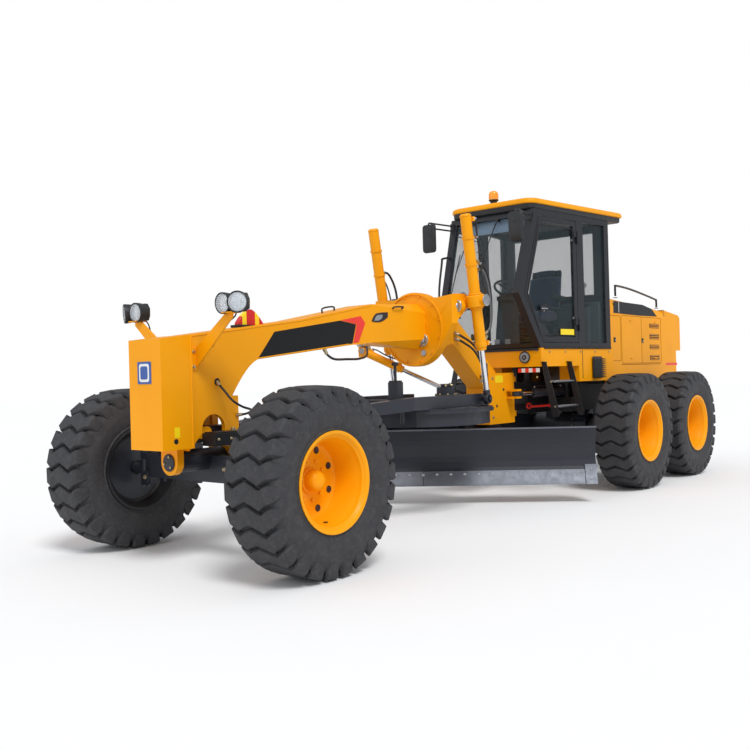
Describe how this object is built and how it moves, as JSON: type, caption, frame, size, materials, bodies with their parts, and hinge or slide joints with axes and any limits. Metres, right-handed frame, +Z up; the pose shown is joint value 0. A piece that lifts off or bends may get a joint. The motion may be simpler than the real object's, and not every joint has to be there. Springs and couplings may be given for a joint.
{
  "type": "motor grader",
  "caption": "Articulated motor grader with leaning front wheels, a circle-mounted blade, tandem rear wheels and a glazed cab.",
  "frame": {"origin": "on the ground below the middle of the machine's box", "axes": "+X forward, +Y to the machine's left, +Z up"},
  "size_m": [8.962, 3.164, 3.5303],
  "materials": {
    "yellow_paint": "semi-gloss paint",
    "slate_paint": "satin paint",
    "black_paint": "satin paint",
    "cab_paint": "satin paint",
    "engine_iron": "matt",
    "rod_chrome": "polished",
    "tyre_rubber": "matt",
    "tinted_glass": "clear, lightly tinted",
    "seat_cloth": "woven",
    "dash_plastic": "matt"
  },
  "bodies": {
    "machine": {"rear_frame": "black_paint", "rear_axle": "slate_paint", "engine_block": "engine_iron", "hood": "yellow_paint", "radiator_shroud": "yellow_paint", "cab_floor": "yellow_paint", "cab_frame": "cab_paint", "cab_roof": "yellow_paint", "windscreen": "tinted_glass", "rear_glass": "tinted_glass", "seat": "seat_cloth", "console": "dash_plastic", "side_glass_left": "tinted_glass", "side_glass_right": "tinted_glass", "mirror_left": "black_paint", "mirror_right": "black_paint", "ladder_left": "black_paint", "ladder_right": "black_paint"},
    "door_left": {"door_left": "cab_paint", "door_glass_left": "tinted_glass"},
    "tandem_left": {"tandem_left": "slate_paint"},
    "mid_left_wheel": {"mid_left_rim": "yellow_paint", "mid_left_tyre": "tyre_rubber"},
    "rear_left_wheel": {"rear_left_rim": "yellow_paint", "rear_left_tyre": "tyre_rubber"},
    "bend_left_barrel": {"bend_left_barrel": "black_paint"},
    "bend_left_rod": {"bend_left_rod": "rod_chrome"},
    "door_right": {"door_right": "cab_paint", "door_glass_right": "tinted_glass"},
    "tandem_right": {"tandem_right": "slate_paint"},
    "mid_right_wheel": {"mid_right_rim": "yellow_paint", "mid_right_tyre": "tyre_rubber"},
    "rear_right_wheel": {"rear_right_rim": "yellow_paint", "rear_right_tyre": "tyre_rubber"},
    "bend_right_barrel": {"bend_right_barrel": "black_paint"},
    "bend_right_rod": {"bend_right_rod": "rod_chrome"},
    "front_frame": {"front_frame": "yellow_paint", "saddle": "yellow_paint", "lamp_left": "yellow_paint", "lamp_right": "yellow_paint"},
    "front_axle": {"front_axle": "slate_paint"},
    "lean_bracket_left": {"lean_bracket_left": "slate_paint"},
    "knuckle_left": {"knuckle_left": "slate_paint"},
    "front_left_wheel": {"front_left_rim": "yellow_paint", "front_left_tyre": "tyre_rubber"},
    "lift_left_barrel": {"lift_left_barrel": "yellow_paint"},
    "lift_left_rod": {"lift_left_rod": "rod_chrome"},
    "lean_bracket_right": {"lean_bracket_right": "slate_paint"},
    "knuckle_right": {"knuckle_right": "slate_paint"},
    "front_right_wheel": {"front_right_rim": "yellow_paint", "front_right_tyre": "tyre_rubber"},
    "lift_right_barrel": {"lift_right_barrel": "yellow_paint"},
    "lift_right_rod": {"lift_right_rod": "rod_chrome"},
    "swing_barrel": {"swing_barrel": "yellow_paint"},
    "swing_rod": {"swing_rod": "rod_chrome"},
    "drawbar": {"drawbar": "slate_paint"},
    "circle": {"circle": "slate_paint"},
    "blade_carrier": {"blade_carrier": "slate_paint"},
    "blade": {"blade": "slate_paint"}
  },
  "joints": [
    {"name": "articulation", "type": "hinge", "parent": "machine", "child": "front_frame", "pos_m": [-0.641, 0.2645, 0.672], "axis": [0, 0, 1], "range_deg": [-25, 25]},
    {"name": "door_left_hinge", "type": "hinge", "parent": "machine", "child": "door_left", "pos_m": [-1.163, 0.9314, 1.712], "axis": [0, 0, 1], "range_deg": [0, 80]},
    {"name": "door_right_hinge", "type": "hinge", "parent": "machine", "child": "door_right", "pos_m": [-1.163, -0.4024, 1.712], "axis": [0, 0, -1], "range_deg": [0, 80]},
    {"name": "tandem_left_rock", "type": "hinge", "parent": "machine", "child": "tandem_left", "pos_m": [-2.41, 0.8845, 0.672], "axis": [0, 1, 0], "range_deg": [-15, 15]},
    {"name": "mid_left_spin", "type": "hinge", "parent": "tandem_left", "child": "mid_left_wheel", "pos_m": [-1.641, 1.3595, 0.672], "axis": [0, 1, 0], "continuous": true},
    {"name": "rear_left_spin", "type": "hinge", "parent": "tandem_left", "child": "rear_left_wheel", "pos_m": [-3.179, 1.3595, 0.672], "axis": [0, 1, 0], "continuous": true},
    {"name": "tandem_right_rock", "type": "hinge", "parent": "machine", "child": "tandem_right", "pos_m": [-2.41, -0.3555, 0.672], "axis": [0, 1, 0], "range_deg": [-15, 15]},
    {"name": "mid_right_spin", "type": "hinge", "parent": "tandem_right", "child": "mid_right_wheel", "pos_m": [-1.641, -0.8305, 0.672], "axis": [0, 1, 0], "continuous": true},
    {"name": "rear_right_spin", "type": "hinge", "parent": "tandem_right", "child": "rear_right_wheel", "pos_m": [-3.179, -0.8305, 0.672], "axis": [0, 1, 0], "continuous": true},
    {"name": "front_axle_rock", "type": "hinge", "parent": "front_frame", "child": "front_axle", "pos_m": [3.809, 0.2645, 0.79], "axis": [1, 0, 0], "range_deg": [-15, 15]},
    {"name": "lean_left", "type": "hinge", "parent": "front_axle", "child": "lean_bracket_left", "pos_m": [3.809, 1.0095, 0.612], "axis": [-1, 0, 0], "range_deg": [-17, 17]},
    {"name": "lean_right", "type": "hinge", "parent": "front_axle", "child": "lean_bracket_right", "pos_m": [3.809, -0.4805, 0.612], "axis": [-1, 0, 0], "range_deg": [-17, 17]},
    {"name": "steer_left", "type": "hinge", "parent": "lean_bracket_left", "child": "knuckle_left", "pos_m": [3.809, 1.1145, 0.672], "axis": [0, 0, 1], "range_deg": [-45, 45]},
    {"name": "steer_right", "type": "hinge", "parent": "lean_bracket_right", "child": "knuckle_right", "pos_m": [3.809, -0.5855, 0.672], "axis": [0, 0, 1], "range_deg": [-45, 45]},
    {"name": "front_left_spin", "type": "hinge", "parent": "knuckle_left", "child": "front_left_wheel", "pos_m": [3.809, 1.3595, 0.672], "axis": [0, 1, 0], "continuous": true},
    {"name": "front_right_spin", "type": "hinge", "parent": "knuckle_right", "child": "front_right_wheel", "pos_m": [3.809, -0.8305, 0.672], "axis": [0, 1, 0], "continuous": true},
    {"name": "drawbar_lift", "type": "hinge", "parent": "front_frame", "child": "drawbar", "pos_m": [3.929, 0.2645, 1], "axis": [0, 1, 0], "range_deg": [-10, 4.6]},
    {"name": "circle_turn", "type": "hinge", "parent": "drawbar", "child": "circle", "pos_m": [1.097, 0.2645, 0.672], "axis": [0, 0, 1], "continuous": true},
    {"name": "blade_tip", "type": "hinge", "parent": "circle", "child": "blade_carrier", "pos_m": [0.4816, -0.1553, 0.442], "axis": [-0.5635, 0.8261, 0], "range_deg": [-10, 32]},
    {"name": "blade_shift", "type": "slide", "parent": "blade_carrier", "child": "blade", "axis": [0.5635, -0.8261, 0], "range_m": [-0.6, 0.6]},
    {"name": "lift_left_swing", "type": "hinge", "parent": "front_frame", "child": "lift_left_barrel", "pos_m": [0.904, 0.8495, 2.109], "axis": [0, 1, 0], "range_deg": [-6, 6]},
    {"name": "lift_left_stroke", "type": "slide", "parent": "lift_left_barrel", "child": "lift_left_rod", "axis": [-0.1702, 0, -0.9854], "range_m": [-0.3, 0.6]},
    {"name": "lift_right_swing", "type": "hinge", "parent": "front_frame", "child": "lift_right_barrel", "pos_m": [0.904, -0.3205, 2.109], "axis": [0, 1, 0], "range_deg": [-6, 6]},
    {"name": "lift_right_stroke", "type": "slide", "parent": "lift_right_barrel", "child": "lift_right_rod", "axis": [-0.1702, 0, -0.9854], "range_m": [-0.3, 0.6]},
    {"name": "swing_pivot", "type": "hinge", "parent": "front_frame", "child": "swing_barrel", "pos_m": [1.209, -0.3755, 1.657], "axis": [-0.9108, -0.4128, 0], "range_deg": [-20, 30]},
    {"name": "swing_stroke", "type": "slide", "parent": "swing_barrel", "child": "swing_rod", "axis": [-0.3713, 0.8194, -0.4367], "range_m": [-0.13, 0.29]},
    {"name": "bend_left_pivot", "type": "hinge", "parent": "machine", "child": "bend_left_barrel", "pos_m": [-1.491, 0.5645, 1.147], "axis": [0, 0, 1], "range_deg": [-7, 7]},
    {"name": "bend_left_stroke", "type": "slide", "parent": "bend_left_barrel", "child": "bend_left_rod", "axis": [0.999, -0.0454, 0], "range_m": [-0.13, 0.13]},
    {"name": "bend_right_pivot", "type": "hinge", "parent": "machine", "child": "bend_right_barrel", "pos_m": [-1.491, -0.0355, 1.147], "axis": [0, 0, 1], "range_deg": [-7, 7]},
    {"name": "bend_right_stroke", "type": "slide", "parent": "bend_right_barrel", "child": "bend_right_rod", "axis": [0.999, 0.0454, 0], "range_m": [-0.13, 0.13]}
  ],
  "couplings": [
    {"joint": "lean_right", "follows": "lean_left", "ratio": 1},
    {"joint": "steer_right", "follows": "steer_left", "ratio": 1},
    {"joint": "lift_left_swing", "follows": "drawbar_lift", "ratio": 0.43},
    {"joint": "lift_right_swing", "follows": "drawbar_lift", "ratio": 0.43},
    {"joint": "lift_left_stroke", "follows": "drawbar_lift", "m_per_rad": -3.16},
    {"joint": "lift_right_stroke", "follows": "drawbar_lift", "m_per_rad": -3.16},
    {"joint": "swing_pivot", "follows": "drawbar_lift", "ratio": -2.2},
    {"joint": "swing_stroke", "follows": "drawbar_lift", "m_per_rad": -1.6},
    {"joint": "bend_left_pivot", "follows": "articulation", "ratio": 0.21},
    {"joint": "bend_right_pivot", "follows": "articulation", "ratio": 0.21},
    {"joint": "bend_left_stroke", "follows": "articulation", "m_per_rad": -0.257},
    {"joint": "bend_right_stroke", "follows": "articulation", "m_per_rad": 0.257}
  ]
}
